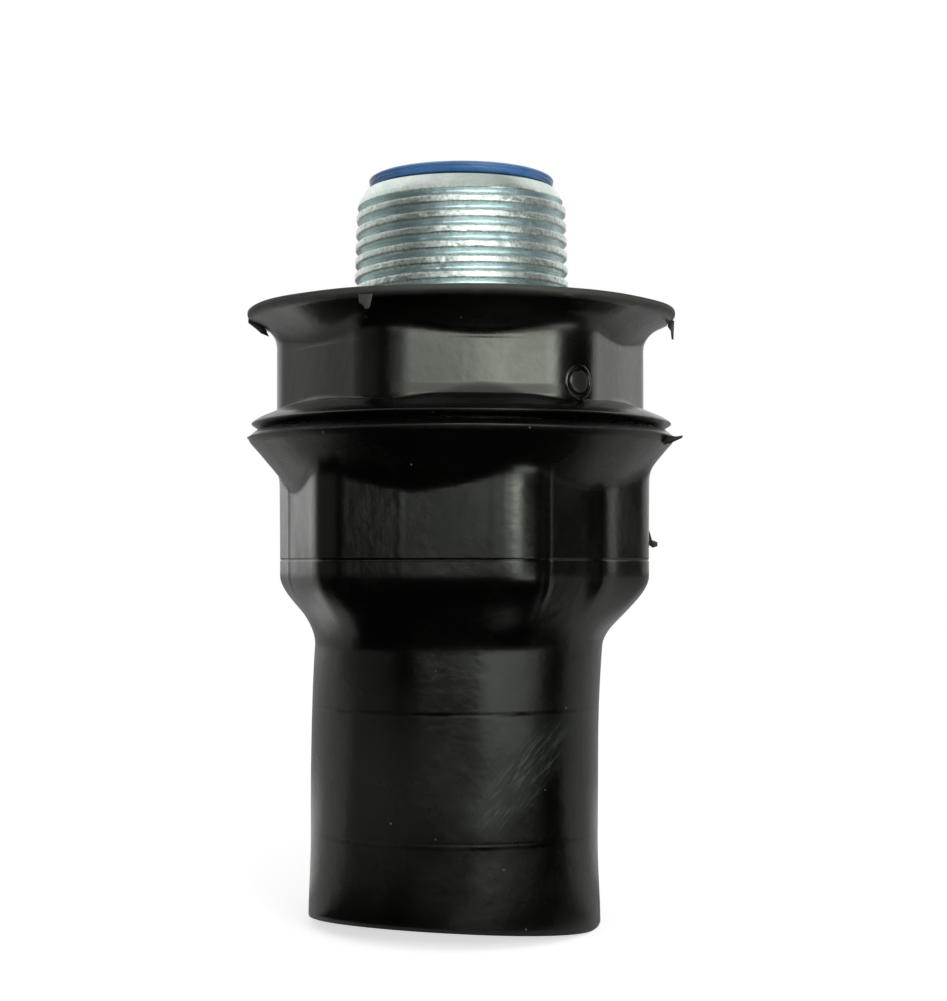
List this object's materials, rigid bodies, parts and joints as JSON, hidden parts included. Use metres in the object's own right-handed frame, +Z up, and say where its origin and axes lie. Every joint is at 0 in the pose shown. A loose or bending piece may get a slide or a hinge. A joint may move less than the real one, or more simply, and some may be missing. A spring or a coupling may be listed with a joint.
{
  "type": "liquidtight conduit connector",
  "caption": "Straight liquidtight conduit connector with a male threaded hub, insulated throat, coated hexagon body and a coated gland nut with a long sleeve.",
  "frame": {"origin": "middle of the sleeve's open end, on the connector's axis", "axes": "+Z runs up the connector's axis to the threaded hub, and -Y is the front"},
  "size_m": [0.0534, 0.0534, 0.0927],
  "materials": {
    "zinc_plate": "bright zinc plate",
    "black_pvc": "satin moulded coat",
    "blue_nylon": "semi-gloss",
    "natural_nylon": "satin",
    "ferrule_steel": "plain plated steel"
  },
  "bodies": {
    "body": {"connector_body": "zinc_plate", "body_jacket": "black_pvc", "insulated_throat": "blue_nylon"},
    "seal_stack": {"ferrule": "ferrule_steel", "sealing_ring": "natural_nylon"},
    "gland_nut": {"gland_nut": "zinc_plate", "nut_jacket": "black_pvc"}
  },
  "joints": [
    {"name": "gland_travel", "type": "slide", "parent": "body", "child": "seal_stack", "axis": [0, 0, -1], "range_m": [0, 0.00953]},
    {"name": "gland_turn", "type": "hinge", "parent": "seal_stack", "child": "gland_nut", "pos_m": [0, 0, 0.0606], "axis": [0, 0, -1], "range_deg": [0, 2160]}
  ],
  "couplings": [
    {"joint": "gland_travel", "follows": "gland_turn", "m_per_rad": 0.00025265}
  ]
}
